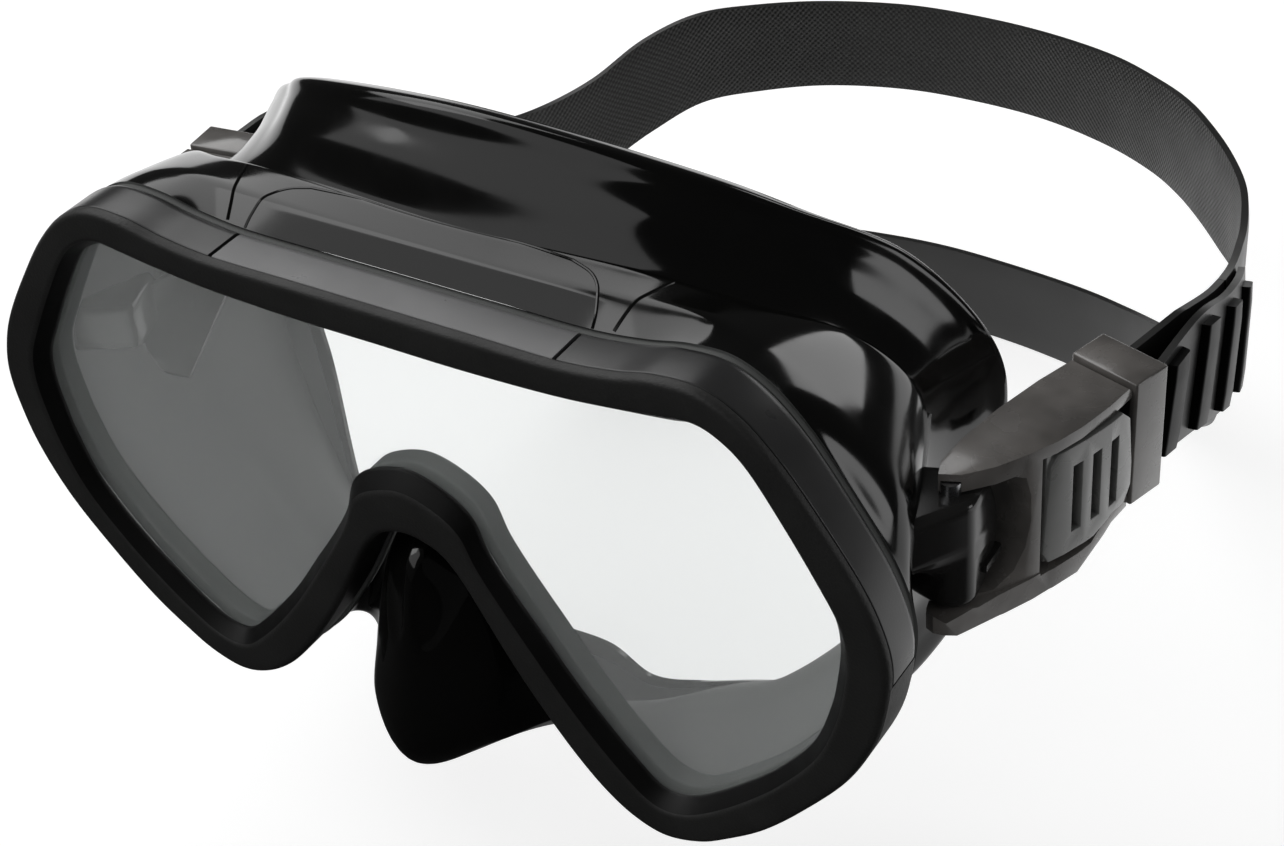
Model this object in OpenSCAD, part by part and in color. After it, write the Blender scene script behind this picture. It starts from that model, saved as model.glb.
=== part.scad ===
// Snorkel mask: one wide tempered lens in a moulded frame, a soft skirt with a
// nose pocket, and a split rubber head strap held by two swivelling quick-release
// buckles. Millimetres, +Z up, the lens faces -Y, X = 0 is the plane of symmetry.
// The origin is the middle of the opening that seals on the face.

/* [Frame] */
// Width of the frame over the outline points, per cent of the drawn width
frame_width_pct = 100; // [80:1:125]
// Depth of the frame from the front face to the back edge
frame_depth = 9; // [6:0.5:14]
// Depth of the front ring alone, ahead of the covers
ring_depth = 1.5; // [1:0.1:3]
// How far the lens sits behind the front face
lens_recess = 3; // [1.5:0.1:5]
// Radius-like setback of the rounded outer front edge
edge_round = 1.2; // [0.4:0.1:2]

/* [Lens] */
// Thickness of the tempered glass
lens_thickness = 4; // [3:0.1:6]

/* [Skirt] */
// Distance from the front face to the middle of the face opening
face_depth = 50; // [40:1:65]
// Wall of the skirt
skirt_wall = 1.8; // [1.2:0.1:3]
// Wall of the lip that clamps behind the lens
lip_wall = 1.6; // [1:0.1:3]

/* [Strap] */
// Width of the strap where it runs through a buckle
strap_width = 17; // [14:0.5:20]
// Thickness of the strap
strap_thickness = 1.6; // [1:0.1:2.2]
// Length of the free tail behind the roller
tail_length = 62; // [40:1:90]

/* [Buckle] */
// Outward angle of the right buckle from straight back
buckle_angle = 17; // [5:1:25]
// Outward angle of the left buckle, which lies folded in a little
buckle_angle_left = 7; // [0:1:25]
// How far the left buckle sags on its soft lug
buckle_sag_left = 4.5; // [0:0.5:6]
// Height of a buckle body
buckle_height = 26.5; // [22:0.5:32]
// Length of the buckle body
buckle_length = 35; // [30:0.5:45]
// Wall of the top and bottom plates
plate_wall = 2; // [1.5:0.1:3]
// Radius of the lug pin
lug_pin_r = 1.5; // [1:0.1:2]
// Radius of the lever pin
lever_pin_r = 0.8; // [0.6:0.1:1.2]
// Radius of the roller pin
roller_pin_r = 0.9; // [0.6:0.1:1.2]
// Radius of the strap roller
roller_r = 1.7; // [1.4:0.1:2.4]
// Length of the strap guide behind the body
guide_length = 7; // [5:0.5:10]

/* [Fits] */
// Gap between moulded pieces that snap together
snap_gap = 0.2; // [0.1:0.05:0.5]
// Gap round the soft parts
soft_gap = 0.3; // [0.2:0.05:0.6]
// Radial clearance of a turning pin
pin_clear = 0.06; // [0.02:0.01:0.1]

/* [Hidden] */

face_mid_z = -32;
wide = frame_width_pct / 100;
lens_front = lens_recess + snap_gap;
lens_back = lens_front + lens_thickness;
lip_front = lens_back + soft_gap;
skirt_front = frame_depth + soft_gap;
ring_segs = 58;
ring_steps = 2;
ring_n = ring_segs * ring_steps;

// Frame outline, right half from the top middle round to the nose arch:
// inner rim x, z, then outer edge x, z
RIM = [
  [0, -4.5, 0, 1], [15, -4.5, 15, 1], [30, -4, 30, 1],
  [40, -3, 39, 2], [47, -2, 46, 3.5], [52, -1.5, 53, 3.5],
  [56, -3, 59, 0.5], [60, -6.5, 64.5, -5], [65, -14, 70, -12.5],
  [70, -22.5, 75.5, -21], [73, -28.5, 78.5, -27.5], [74, -34, 80, -34],
  [73.5, -40, 79.5, -41], [72, -47, 77.5, -49], [68.5, -55.5, 73, -58],
  [62, -64, 66, -67], [55.5, -70.5, 59, -74.5], [50, -75, 52.5, -79.5],
  [46, -77.5, 47.5, -82.5], [42, -78.5, 41.5, -84], [38.5, -77.5, 36, -82.5],
  [34.5, -74, 31, -79], [30, -69, 26, -73.5], [25, -62.5, 21, -66.5],
  [20, -55, 16, -58.5], [15.5, -48, 12, -51], [12, -42, 9, -45.5],
  [9.5, -36.5, 6, -42], [5.5, -33.5, 3, -40.5], [0, -32, 0, -40]
];
// Share of the ring's width, from the inner rim at 0 to the outer edge at 1
f_bevel = -0.38;
f_lens = 0.2;
f_bead = 0.26;
f_bead_out = 0.55;
f_seat = 0.6;
f_rear_in = 0.62;
f_rear_out = 0.78;
f_cover_in = 0.81;
// Places round the ring where the covers meet
u_brow = 2;
u_side = 11.5;
u_gap = 0.06;

// Skirt columns: ring place, then points from the ledge to the face edge
SKIRT = [
  [0, [[0, 13, 4], [0, 17, 6], [0, 18.5, 4.5], [0, 22, 11], [0, 25, 15], [0, 27, 18.5], [0, 30, 18]]],
  [2, [[30, 14, 4], [30.5, 20, 5], [30, 21.5, 3], [30.5, 26, 9], [31, 29.5, 12], [31.5, 32, 14], [31, 35, 13]]],
  [4, [[46.5, 16, 3.5], [47, 24, 1.5], [45, 26, -1], [43.5, 33, 3], [44.3, 38, 5], [45.2, 41, 6], [44, 44, 4.5]]],
  [6, [[60, 16, -1.5], [60, 31, -5], [56.5, 34, -8], [55.5, 41, -6.5], [57, 48, -4.6], [58.2, 51.8, -4.5], [56.2, 54.3, -6.5]]],
  [9, [[74, 18, -18], [68, 36, -18], [65, 39, -21], [65, 47, -20.5], [67.5, 54, -20.5], [69, 57.5, -20.5], [66, 59, -22]]],
  [11, [[75, 16, -34], [69, 30, -36], [67, 36, -37], [67, 45, -37], [69, 54, -37], [70.5, 58.5, -37], [67.5, 60, -38]]],
  [14, [[70.5, 16, -57], [65, 28, -56.5], [63, 34, -56], [65, 44, -57.5], [68, 52, -59], [69.5, 57, -60], [61, 58, -60]]],
  [17, [[51, 16, -77], [49, 26, -75], [48, 31, -74], [49.5, 39, -79], [52.5, 46, -86], [54.5, 51, -90.5], [52.5, 52, -89.5]]],
  [20, [[36, 15, -80.5], [35, 22, -80], [34.5, 27, -80], [35.5, 35, -84.5], [36.5, 42, -89.5], [37, 46, -92.5], [35, 46.5, -91]]],
  [22, [[25.5, 12, -74], [24, 15, -76], [24.5, 20, -81], [25.5, 27, -88.5], [26.5, 35, -91.5], [27, 40, -93], [25.5, 41, -90.5]]],
  [24, [[15.5, 9, -62.5], [14.5, 6, -70], [15.5, 9, -78], [17, 18, -83.5], [19, 28, -92.5], [19, 36, -95], [18, 37, -89]]],
  [26, [[8.5, 4, -51], [9.5, 0, -64], [10.5, -1.5, -76], [10.5, 10, -82.5], [12, 24, -92.5], [11.5, 34, -95.5], [11, 35.5, -83.5]]],
  [29, [[0, 0, -45], [0, -5, -62], [0, -8.5, -77.5], [0, 1, -86], [0, 20, -92], [0, 33, -95.5], [0, 35, -83]]]
];
skirt_steps = 2;
skirt_rows = 8;

// Strap stations from the buckle to the middle of the back, each side as it lies:
// x, y, top edge z, bottom edge z. The main run splits into an upper and a lower band.
RUN_R = [[89, 78, -21.5, -43], [89, 91, -26, -48.5], [88, 101, -29.5, -52.5]];
UPPER_R = [[88, 101, -29.5, -40.5], [86.3, 110, -33, -43.5], [84, 120, -36, -47.5],
  [80.8, 132, -39, -53], [76, 145, -40.5, -58], [69.5, 156, -41.5, -61.5],
  [62, 166, -42.5, -63], [54, 175.5, -44, -64.5], [45, 184, -46, -66],
  [32, 193, -48, -68], [16, 199, -49.5, -69], [0, 201, -50, -69.5]];
LOWER_R = [[88, 101, -42, -52.5], [84.5, 114, -48, -63], [80, 127, -59, -76],
  [75, 139, -70, -88.5], [69, 149, -78.5, -98], [62, 158.5, -85, -105],
  [54, 167, -89.5, -109.5], [45, 174, -93, -112.5], [33, 180, -95.5, -115],
  [17, 184, -97, -116], [0, 185, -97, -116]];
RUN_L = [[80.5, 78, -27, -47], [81, 91, -36, -57], [80.7, 101, -42.5, -65]];
UPPER_L = [[80.7, 101, -42.5, -53], [80, 111, -48, -60.5], [78.7, 121, -53, -67.5],
  [76.3, 132, -56.5, -73.5], [72.5, 144, -58, -77], [67, 155, -56, -76.5],
  [60.5, 165, -50.5, -72], [53, 174.5, -47.5, -68], [44, 184, -48, -68],
  [32, 193, -49, -68.5], [16, 199, -49.5, -69], [0, 201, -50, -69.5]];
LOWER_L = [[80.7, 101, -54.5, -65], [79, 112, -61.5, -76], [75, 124, -71, -88],
  [70, 135, -79, -97.5], [64, 145, -84.5, -104], [57, 154, -88.5, -108.5],
  [49, 162, -91, -111], [40, 170, -93, -113], [30, 177, -94.5, -114.5],
  [15, 183, -96.5, -116], [0, 185, -97, -116]];

// Buckle frame: x outward, y back along the buckle, z up from the top plate
buckle_x = 78.5;
buckle_y = 22;
buckle_z = -19;
window_end = 13.5;
inner_wall_in = -7.5;
inner_wall_out = -6.3;
lug_x = -2.5;
lug_y = 3;
lug_top = -plate_wall - 1 - soft_gap;
lug_bottom = lug_top - 18.5;
lever_x = 0.4;
lever_y = 17.8;
wrap_r = roller_r + soft_gap + strap_thickness;
roller_x = inner_wall_out + soft_gap + wrap_r;
roller_y = buckle_length - 6;
strap_top = -plate_wall - 0.5;
strap_low = strap_top - strap_width;
body_bottom = -buckle_height;
cavity_floor = body_bottom + plate_wall + 1.5;
guide_low = strap_low - 0.6;

function cr(a, b, c, d, t) = 0.5 * (2 * b + (c - a) * t + (2 * a - 5 * b + 4 * c - d) * t * t
  + (3 * b - a - 3 * c + d) * t * t * t);
function flip4(p) = [-p[0], p[1], -p[2], p[3]];
function flip3(p) = [-p[0], p[1], p[2]];
function rim_at(k) = let (m = ((k % ring_segs) + ring_segs) % ring_segs)
  m < 30 ? RIM[m] : flip4(RIM[ring_segs - m]);
function rim(u) = let (k = floor(u), t = u - k)
  cr(rim_at(k - 1), rim_at(k), rim_at(k + 1), rim_at(k + 2), t);
// Point of the frame outline at place u and width share f
function ring_xz(u, f) = let (p = rim(u))
  [(p[0] + (p[2] - p[0]) * f) * wide, p[1] + (p[3] - p[1]) * f];
function ring_pt(u, f, y) = let (q = ring_xz(u, f)) [q[0], y, q[1]];

function key_at(j) = j < 0 ? -SKIRT[-j][0]
  : j >= len(SKIRT) ? ring_segs - SKIRT[2 * len(SKIRT) - 2 - j][0] : SKIRT[j][0];
function col_at(j, r) = j < 0 ? flip3(SKIRT[-j][1][r])
  : j >= len(SKIRT) ? flip3(SKIRT[2 * len(SKIRT) - 2 - j][1][r]) : SKIRT[j][1][r];
function seg_of(u, j = 0) = (j >= len(SKIRT) - 2 || u < SKIRT[j + 1][0]) ? j : seg_of(u, j + 1);
function col_half(u, r) = let (j = seg_of(u), a = SKIRT[j][0], b = SKIRT[j + 1][0],
  t = (u - a) / (b - a)) cr(col_at(j - 1, r), col_at(j, r), col_at(j + 1, r), col_at(j + 2, r), t);
function widen(p) = [p[0] * wide, p[1] > 0 ? p[1] * face_depth / 50 : p[1], p[2]];
// The skirt leaves the frame's back edge, and outside it under the nose arch
function f_root(u) = let (h = abs(u - 29)) h < 7 ? 1.1 : h < 11 ? 1.1 - (h - 7) * 0.05 : 0.9;
// Skirt station r at ring place u
function station(u, r) = r == 0 ? ring_pt(u, f_root(u), skirt_front + 1)
  : widen(u <= 29 ? col_half(u, r - 1) : flip3(col_half(ring_segs - u, r - 1)));
function clampi(k, n) = k < 0 ? 0 : k > n ? n : k;
function skirt_pt(u, v) = let (k = clampi(floor(v), skirt_rows - 2), t = v - k)
  cr(station(u, clampi(k - 1, skirt_rows - 1)), station(u, k), station(u, k + 1),
    station(u, clampi(k + 2, skirt_rows - 1)), t);
function unit(v) = v / norm(v);
function skirt_in(u, v) = let (
  a = skirt_pt((u + 0.3) % ring_segs, v), b = skirt_pt((u + ring_segs - 0.3) % ring_segs, v),
  c = skirt_pt(u, min(v + 0.15, skirt_rows - 1)), d = skirt_pt(u, max(v - 0.15, 0)))
  skirt_pt(u, v) - unit(cross(a - b, c - d)) * skirt_wall;

// Closed tube through rows of equal length; each row is a closed loop
function quads(rows, cols, closed) = [for (i = [0 : rows - (closed ? 1 : 2)], j = [0 : cols - 1])
  each let (a = i * cols + j, b = i * cols + (j + 1) % cols,
    c = ((i + 1) % rows) * cols + (j + 1) % cols, d = ((i + 1) % rows) * cols + j)
    [[a, b, c], [a, c, d]]];
module tube(loops, closed = false) {
  n = len(loops[0]);
  m = len(loops);
  caps = closed ? [] : [[for (j = [n - 1 : -1 : 0]) j], [for (j = [0 : n - 1]) (m - 1) * n + j]];
  polyhedron(points = [for (l = loops) each l], faces = concat(quads(m, n, closed), caps));
}
// Ring swept round the frame outline from a section of [f, y] points
module ring_sweep(section) {
  tube([for (i = [0 : ring_n - 1]) [for (s = section) ring_pt(i / ring_steps, s[0], s[1])]], true);
}
function band(u0, u1, f0, f1, n) = concat(
  [for (i = [0 : n]) ring_xz(u0 + (u1 - u0) * i / n, f1)],
  [for (i = [n : -1 : 0]) ring_xz(u0 + (u1 - u0) * i / n, f0)]);
module slab(y0, y1) {
  translate([0, y1, 0]) rotate([90, 0, 0]) linear_extrude(y1 - y0) children();
}
module outline(f) {
  polygon([for (i = [0 : ring_n - 1]) ring_xz(i / ring_steps, f)]);
}
// From the drawing's front-top corner to the row's origin
module place() {
  translate([0, -face_depth, -face_mid_z]) children();
}
function height(side) = side < 0 ? buckle_z - buckle_sag_left : buckle_z;
module on_buckle(side) {
  place() mirror([side < 0 ? 1 : 0, 0, 0]) translate([buckle_x * wide, buckle_y, height(side)])
    rotate([0, 0, side < 0 ? -buckle_angle_left : -buckle_angle]) children();
}

module bezel() {
  color("#26272a") place() union() {
    ring_sweep([[f_bevel, lens_recess - 0.5], [0, 0], [0.78, 0], [0.9, edge_round * 0.14],
      [0.97, edge_round * 0.42], [1, edge_round * 0.85], [1, ring_depth],
      [f_seat, ring_depth], [f_seat, lens_recess], [f_bevel, lens_recess]]);
    slab(ring_depth - 0.5, frame_depth)
      polygon(band(u_side + u_gap, ring_segs - u_side - u_gap, f_cover_in, 1, 93));
  }
}

module rear_frame() {
  color("#1a1b1d") place() slab(ring_depth + snap_gap, frame_depth) difference() {
    outline(f_rear_out);
    outline(f_rear_in);
  }
}

module brow_cover() {
  color("#45464a") place() slab(ring_depth + snap_gap / 2, frame_depth)
    polygon(band(-u_brow + u_gap / 2, u_brow - u_gap / 2, f_cover_in, 1, 8));
}

module side_cover(side) {
  color("#38393c") place() mirror([side < 0 ? 1 : 0, 0, 0])
    slab(ring_depth + snap_gap / 2, frame_depth)
      polygon(band(u_brow + u_gap / 2, u_side, f_cover_in, 1, 19));
}
module side_cover_left() {
  side_cover(-1);
}
module side_cover_right() {
  side_cover(1);
}

module lens() {
  color("#8f9a9f", 0.4) place() slab(lens_front, lens_back) outline(f_lens);
}

module skirt_loft() {
  rows = (skirt_rows - 1) * skirt_steps;
  tube([for (i = [0 : ring_n - 1]) let (u = i / ring_steps) concat(
    [for (j = [0 : rows]) skirt_pt(u, j / skirt_steps)],
    [for (j = [rows : -1 : 0]) skirt_in(u, j / skirt_steps)])], true);
}
// Side lug that carries a buckle: a web off the skirt wall and a barrel on the pin
module lug_solid() {
  hull() {
    translate([lug_x, lug_y, lug_bottom]) cylinder(r = 4, h = lug_top - lug_bottom, $fn = 32);
    translate([-3.5, -8, lug_bottom + 10]) cylinder(r = 2, h = lug_top - lug_bottom - 10, $fn = 16);
    translate([-11, -5, lug_bottom + 10]) cylinder(r = 2, h = lug_top - lug_bottom - 10, $fn = 16);
    translate([-9, 3, lug_bottom + 1]) cylinder(r = 2, h = lug_top - lug_bottom - 1, $fn = 16);
  }
}
module lug_web() {
  hull() {
    translate([-3.5, -8, lug_bottom + 11]) cylinder(r = 1.5, h = 8, $fn = 12);
    translate([-9, -8.5, -2]) cylinder(r = 1.5, h = 14, $fn = 12);
    translate([-11, -2, -12]) cylinder(r = 1.5, h = 18, $fn = 12);
  }
}
module skirt() {
  color("#0e0e10") union() {
    place() {
      skirt_loft();
      ring_sweep([[f_bead, lens_front], [f_bead_out, lens_front], [f_bead_out, skirt_front],
        [0.97, skirt_front], [0.97, skirt_front + lip_wall], [-0.3, skirt_front + lip_wall],
        [-0.3, lip_front], [f_bead, lip_front]]);
    }
    for (side = [-1, 1]) on_buckle(side) difference() {
      union() {
        lug_solid();
        lug_web();
      }
      translate([lug_x, lug_y, body_bottom - 5])
        cylinder(r = lug_pin_r + pin_clear + 0.02, h = 60, $fn = 64);
    }
  }
}

function turn(side, x, y) = let (a = side < 0 ? buckle_angle_left : buckle_angle)
  [buckle_x * wide + x * cos(a) + y * sin(a), buckle_y - x * sin(a) + y * cos(a)];
function on_path(side, x, y) = let (q = turn(side, x, y))
  [q[0], q[1], height(side) + strap_top, height(side) + strap_low];
function spread(p) = [p[0] * wide, p[1], p[2], p[3]];
function step_of(path, i) = let (n = len(path) - 1)
  unit([path[min(i + 1, n)][0] - path[max(i - 1, 0)][0],
    path[min(i + 1, n)][1] - path[max(i - 1, 0)][1]]);
// Flat strip, t thick, standing on its edge along a path
function ribbon(path, t) = [for (i = [0 : len(path) - 1]) let (d = step_of(path, i),
  p = path[i], n = [d[1], -d[0]] * t / 2)
  [[p[0] - n[0], p[1] - n[1], p[3]], [p[0] + n[0], p[1] + n[1], p[3]],
   [p[0] + n[0], p[1] + n[1], p[2]], [p[0] - n[0], p[1] - n[1], p[2]]]];
wrap_mid = roller_r + soft_gap + strap_thickness / 2;
function wrap_path(side) = [for (a = [180 : 20 : 360])
  on_path(side, roller_x + wrap_mid * cos(a), roller_y + wrap_mid * sin(a))];
tail_gap = strap_thickness + soft_gap;
// The free tail lies outside the main run and ends a set length behind the roller
function tail_path(run) = let (n = len(run) - 1, over = tail_length - 62)
  concat([for (i = [0 : n]) let (d = step_of(run, i), p = run[i], w = tail_gap + 1.2 - i * 0.4)
    [p[0] + d[1] * w, p[1] - d[0] * w, p[2] + 0.3, p[3] + 0.3]],
    [let (d = step_of(run, n), p = run[n], k = 10 + over)
      [p[0] + d[1] * tail_gap - 1 - k * 0.12, p[1] + k, p[2] - k * 0.4, p[3] - k * 0.4]]);
function loop_path(right, left) = concat([for (i = [0 : len(right) - 2]) spread(right[i])],
  [for (i = [len(left) - 1 : -1 : 0]) let (p = spread(left[i])) [-p[0], p[1], p[2], p[3]]]);
// A band starts a little way inside the main run
function rooted(path) = let (n = len(path) - 1) concat(
  [path[0] + (path[0] - path[1]) * 0.15], path, [path[n] + (path[n] - path[n - 1]) * 0.15]);

module strap_side(side, run) {
  inner_x = roller_x - wrap_mid;
  outer_x = roller_x + wrap_mid;
  guide_end = buckle_length + guide_length + 1;
  path = [for (p = run) spread(p)];
  // from the split, in through the guide, round the roller and out again
  tube(ribbon(concat([for (i = [len(path) - 1 : -1 : 0]) path[i]],
    [on_path(side, inner_x, guide_end), on_path(side, inner_x, roller_y + 4)], wrap_path(side),
    [on_path(side, outer_x, roller_y + 4), on_path(side, outer_x, guide_end)],
    tail_path(path)), strap_thickness));
}
module strap() {
  color("#141416") place() union() {
    strap_side(1, RUN_R);
    mirror([1, 0, 0]) strap_side(-1, RUN_L);
    tube(ribbon(rooted(loop_path(UPPER_R, UPPER_L)), strap_thickness + 0.1));
    tube(ribbon(rooted(loop_path(LOWER_R, LOWER_L)), strap_thickness + 0.1));
  }
}

// Plan of the buckle: leaf-shaped, seen from above
BACK_Y = buckle_length;
module buckle_plan() {
  polygon([[-3.5, 1.5], [-1, 3.5], [1.2, 8], [2.6, 13], [3.6, 18], [3.9, 23], [3.6, 29],
    [2.8, BACK_Y], [inner_wall_in, BACK_Y], [inner_wall_in - 0.3, 27], [inner_wall_in, 18],
    [-6.6, 10], [-5.2, 4]]);
}
module jaw_plan() {
  polygon([[-1.2, -3.5], [0.4, -3.8], [1.2, -2.5], [1.6, 1], [2.2, 8], [3.2, 14], [3.9, 23],
    [3.6, 29], [2.8, BACK_Y], [inner_wall_in, BACK_Y], [inner_wall_in - 0.3, 27],
    [inner_wall_in, 18], [-6.8, 11], [-6, 6], [-4.8, 1.5], [-3, -1.5]]);
}
// Outline seen from the side: y back, z up
module side_view(x0, x1) {
  translate([x0, 0, 0]) rotate([90, 0, 90]) linear_extrude(x1 - x0) children();
}
module buckle_body(side) {
  color("#1c1c1f") on_buckle(side) difference() {
    union() {
      intersection() {
        translate([0, 0, body_bottom - 3]) linear_extrude(3 - body_bottom) buckle_plan();
        side_view(-12, 8) polygon([[0, 0], [BACK_Y - 1, 0], [BACK_Y, -1], [BACK_Y, guide_low - 1.8],
          [BACK_Y - 4, guide_low - 2.2], [BACK_Y - 12, body_bottom], [0, body_bottom]]);
      }
      intersection() {
        translate([0, 0, body_bottom - 3]) linear_extrude(3 - body_bottom) jaw_plan();
        side_view(-12, 8) polygon([[-9, -17], [-2, -20], [4, -22.5], [window_end + 4, -22.5],
          [BACK_Y - 13, body_bottom], [9, body_bottom], [0, body_bottom + 1], [-5, body_bottom + 4]]);
      }
    }
    // window for the lug
    side_view(-13, 9) polygon([[-12, -plate_wall - 1], [window_end - 2.5, -plate_wall - 1],
      [window_end - 0.7, -plate_wall - 2], [window_end + 0.2, -7.5], [window_end + 0.3, -12],
      [window_end - 0.6, -16.5], [window_end - 2.4, -20], [window_end - 5.5, lug_bottom - soft_gap],
      [-2, lug_bottom - soft_gap], [-5, lug_bottom + 3], [-12, lug_bottom + 6]]);
    // strap and lever cavity
    side_view(inner_wall_out, 14) polygon([[window_end + 2, -plate_wall], [BACK_Y + 9, -plate_wall],
      [BACK_Y + 9, guide_low], [BACK_Y - 5, guide_low], [BACK_Y - 9, cavity_floor],
      [window_end + 2, cavity_floor]]);
    translate([lug_x, lug_y, body_bottom - 5]) cylinder(r = lug_pin_r + 0.02, h = 3.8 - body_bottom, $fn = 48);
    translate([lever_x, lever_y, body_bottom - 5]) cylinder(r = lever_pin_r + 0.02, h = 4 - body_bottom, $fn = 32);
    translate([roller_x, roller_y, body_bottom - 5]) cylinder(r = roller_pin_r + 0.02, h = 4 - body_bottom, $fn = 32);
  }
}
module buckle_body_left() {
  buckle_body(-1);
}
module buckle_body_right() {
  buckle_body(1);
}

module pin(side, x, y, r, z0, z1) {
  on_buckle(side) translate([x, y, z0]) cylinder(r = r, h = z1 - z0, $fn = 48);
}
module lug_pin(side) {
  color("#8a8d92") pin(side, lug_x, lug_y, lug_pin_r, body_bottom + 0.6, -1.4);
}
module lug_pin_left() {
  lug_pin(-1);
}
module lug_pin_right() {
  lug_pin(1);
}
module lever_pin(side) {
  color("#8a8d92") pin(side, lever_x, lever_y, lever_pin_r, body_bottom + 0.6, -1.2);
}
module lever_pin_left() {
  lever_pin(-1);
}
module lever_pin_right() {
  lever_pin(1);
}
module roller_pin(side) {
  color("#8a8d92") pin(side, roller_x, roller_y, roller_pin_r, guide_low - 1.6, -1.2);
}
module roller_pin_left() {
  roller_pin(-1);
}
module roller_pin_right() {
  roller_pin(1);
}

module strap_roller(side) {
  color("#303034") on_buckle(side) translate([roller_x, roller_y, guide_low + 0.1])
    difference() {
      cylinder(r = roller_r, h = -plate_wall - guide_low - 0.3, $fn = 48);
      translate([0, 0, -1]) cylinder(r = roller_pin_r + pin_clear, h = 60, $fn = 48);
    }
}
module strap_roller_left() {
  strap_roller(-1);
}
module strap_roller_right() {
  strap_roller(1);
}

lever_top = -plate_wall - 0.5;
lever_low = guide_low - 1.3;
lever_front = window_end + 2.5;
lever_back = BACK_Y - 0.3;
module release_lever(side) {
  color("#151517") on_buckle(side) difference() {
    union() {
      intersection() {
        translate([0, 0, lever_low]) linear_extrude(lever_top - lever_low)
          polygon([[1.8, lever_front], [3.2, lever_front], [3.9, 20], [4.2, 24], [4.2, 29],
            [3.6, lever_back], [2, lever_back], [2.3, 29], [2.3, 24], [2, 20]]);
        side_view(-2, 8) polygon([[lever_front, lever_low + 2], [lever_front + 1, lever_low],
          [BACK_Y - 9, lever_low], [BACK_Y - 5, guide_low + 0.5], [lever_back - 1.5, guide_low + 0.5],
          [lever_back, guide_low + 3], [lever_back, -13],
          [lever_back - 1, lever_top - 2], [lever_back - 3, lever_top], [lever_front + 2.5, lever_top],
          [lever_front + 1, lever_top - 2]]);
      }
      translate([lever_x, lever_y, lever_low]) cylinder(r = 1.7, h = lever_top - lever_low, $fn = 32);
      translate([lever_x, lever_y - 1.2, lever_low]) cube([2.4, 2.4, lever_top - lever_low]);
    }
    translate([lever_x, lever_y, lever_low - 1])
      cylinder(r = lever_pin_r + pin_clear, h = 40, $fn = 32);
    for (k = [0 : 2])
      side_view(1.2, 9) translate([21.2 + 4 * k, 0]) polygon([[0, -6], [1.8, -6], [1.8, lever_low + 3.5],
        [0, lever_low + 3.5]]);
  }
}
module release_lever_left() {
  release_lever(-1);
}
module release_lever_right() {
  release_lever(1);
}

module strap_guide(side) {
  color("#232326") on_buckle(side) union() {
    difference() {
      translate([-8.6, BACK_Y + snap_gap, guide_low - 1.6])
        cube([12, guide_length, 1.8 - guide_low]);
      translate([inner_wall_out - 0.2, BACK_Y - 1, guide_low])
        cube([8.5, guide_length + 3, strap_top + 0.5 - guide_low]);
    }
    translate([-8.6, BACK_Y - 8, -18]) cube([0.8, 8.5, 12]);
  }
}
module strap_guide_left() {
  strap_guide(-1);
}
module strap_guide_right() {
  strap_guide(1);
}

bezel();
rear_frame();
brow_cover();
side_cover_left();
side_cover_right();
lens();
skirt();
strap();
buckle_body_left();
buckle_body_right();
strap_guide_left();
strap_guide_right();
release_lever_left();
release_lever_right();
lug_pin_left();
lug_pin_right();
lever_pin_left();
lever_pin_right();
strap_roller_left();
strap_roller_right();
roller_pin_left();
roller_pin_right();
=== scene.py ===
import math

import bmesh
import bpy
import numpy as np
from mathutils import Matrix, Vector
from mathutils.bvhtree import BVHTree


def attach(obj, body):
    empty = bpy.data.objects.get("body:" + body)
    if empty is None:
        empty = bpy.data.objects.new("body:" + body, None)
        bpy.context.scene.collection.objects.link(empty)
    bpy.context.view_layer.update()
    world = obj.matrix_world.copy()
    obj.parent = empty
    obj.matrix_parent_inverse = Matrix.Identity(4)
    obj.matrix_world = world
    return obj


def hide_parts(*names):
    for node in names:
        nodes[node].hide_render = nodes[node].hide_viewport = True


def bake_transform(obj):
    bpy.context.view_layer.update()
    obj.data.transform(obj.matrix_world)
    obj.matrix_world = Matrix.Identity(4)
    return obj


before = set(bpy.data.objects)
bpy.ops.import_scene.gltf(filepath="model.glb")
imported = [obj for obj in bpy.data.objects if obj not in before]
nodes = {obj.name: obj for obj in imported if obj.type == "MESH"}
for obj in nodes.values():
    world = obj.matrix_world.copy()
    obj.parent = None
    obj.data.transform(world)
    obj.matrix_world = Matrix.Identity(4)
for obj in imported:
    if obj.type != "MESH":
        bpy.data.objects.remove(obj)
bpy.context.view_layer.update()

MM = 0.001
FACE_DEPTH = 50.0
FACE_Z = -32.0
HALF = 29  # ring places from the middle of the brow to the nose arch
RING = 2 * HALF

# Lengths are in millimetres. Seen from the front, x is to the right; y is to the back, z up.
# Frame outline, right half: inner rim x, z, then outer edge x, z
RIM = [
    (0, -4.5, 0, 1), (15, -4.5, 15, 1), (30, -4, 30, 1), (40, -3, 39, 2), (47, -2, 46, 3.5),
    (52, -1.5, 53, 3.5), (56, -3, 59, 0.5), (60, -6.5, 64.5, -5), (65, -14, 70, -12.5),
    (70, -22.5, 75.5, -21), (73, -28.5, 78.5, -27.5), (74, -34, 80, -34), (73.5, -40, 79.5, -41),
    (72, -47, 77.5, -49), (68.5, -55.5, 73, -58), (62, -64, 66, -67), (55.5, -70.5, 59, -74.5),
    (50, -75, 52.5, -79.5), (46, -77.5, 47.5, -82.5), (42, -78.5, 41.5, -84), (38.5, -77.5, 36, -82.5),
    (34.5, -74, 31, -79), (30, -69, 26, -73.5), (25, -62.5, 21, -66.5), (20, -55, 16, -58.5),
    (15.5, -48, 12, -51), (12, -42, 9, -45.5), (9.5, -36.5, 6, -42), (5.5, -33.5, 3, -40.5),
    (0, -32, 0, -40),
]
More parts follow.
